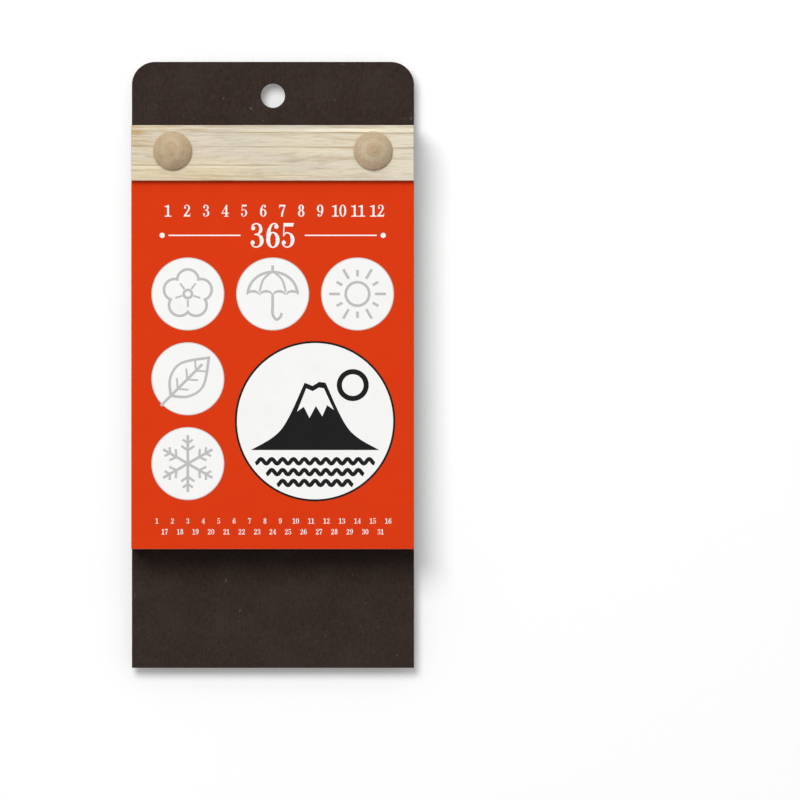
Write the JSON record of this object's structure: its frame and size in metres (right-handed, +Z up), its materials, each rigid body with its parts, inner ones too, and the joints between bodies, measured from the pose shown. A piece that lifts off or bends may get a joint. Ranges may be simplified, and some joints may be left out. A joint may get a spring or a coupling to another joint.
{
  "type": "tear-off day calendar",
  "caption": "Wall-hung tear-off day calendar: a pad of day sheets and a cover pinned under a wooden header bar by crowned pegs, on a stiff hanger board with a hang hole.",
  "frame": {"origin": "on the axis of the hang hole, in the plane of the board's back face, which lies on the wall", "axes": "+Z up, +Y into the wall, so the sheets face -Y and +X is to the reader's right"},
  "size_m": [0.11, 0.0294, 0.2363],
  "materials": {
    "board_card": "matt dark brown",
    "back_card": "matt grey",
    "day_paper": "matt white",
    "cover_paper": "satin red print",
    "header_wood": "bare pale softwood",
    "peg_wood": "bare turned hardwood"
  },
  "bodies": {
    "calendar": {"hanger_board": "board_card", "pad_back_card": "back_card", "december_block": "day_paper", "november_block": "day_paper", "october_block": "day_paper", "september_block": "day_paper", "august_block": "day_paper", "july_block": "day_paper", "june_block": "day_paper", "may_block": "day_paper", "april_block": "day_paper", "march_block": "day_paper", "february_block": "day_paper", "january_block": "day_paper", "day_01_stub": "day_paper", "day_02_stub": "day_paper", "day_03_stub": "day_paper", "cover_stub": "cover_paper", "header_bar": "header_wood", "left_peg": "peg_wood", "right_peg": "peg_wood"},
    "cover": {"cover_leaf": "cover_paper"},
    "day_01": {"day_01_leaf": "day_paper"},
    "day_02": {"day_02_leaf": "day_paper"},
    "day_03": {"day_03_leaf": "day_paper"}
  },
  "joints": [
    {"name": "cover_lift", "type": "hinge", "parent": "calendar", "child": "cover", "pos_m": [0, -0.02505, -0.0334], "axis": [-1, 0, 0], "range_deg": [0, 165]},
    {"name": "day_01_tear_off", "type": "slide", "parent": "calendar", "child": "day_01", "axis": [0, 0, -1], "range_m": [0, 0.1897]},
    {"name": "day_02_tear_off", "type": "slide", "parent": "calendar", "child": "day_02", "axis": [0, 0, -1], "range_m": [0, 0.1897]},
    {"name": "day_03_tear_off", "type": "slide", "parent": "calendar", "child": "day_03", "axis": [0, 0, -1], "range_m": [0, 0.1897]}
  ]
}
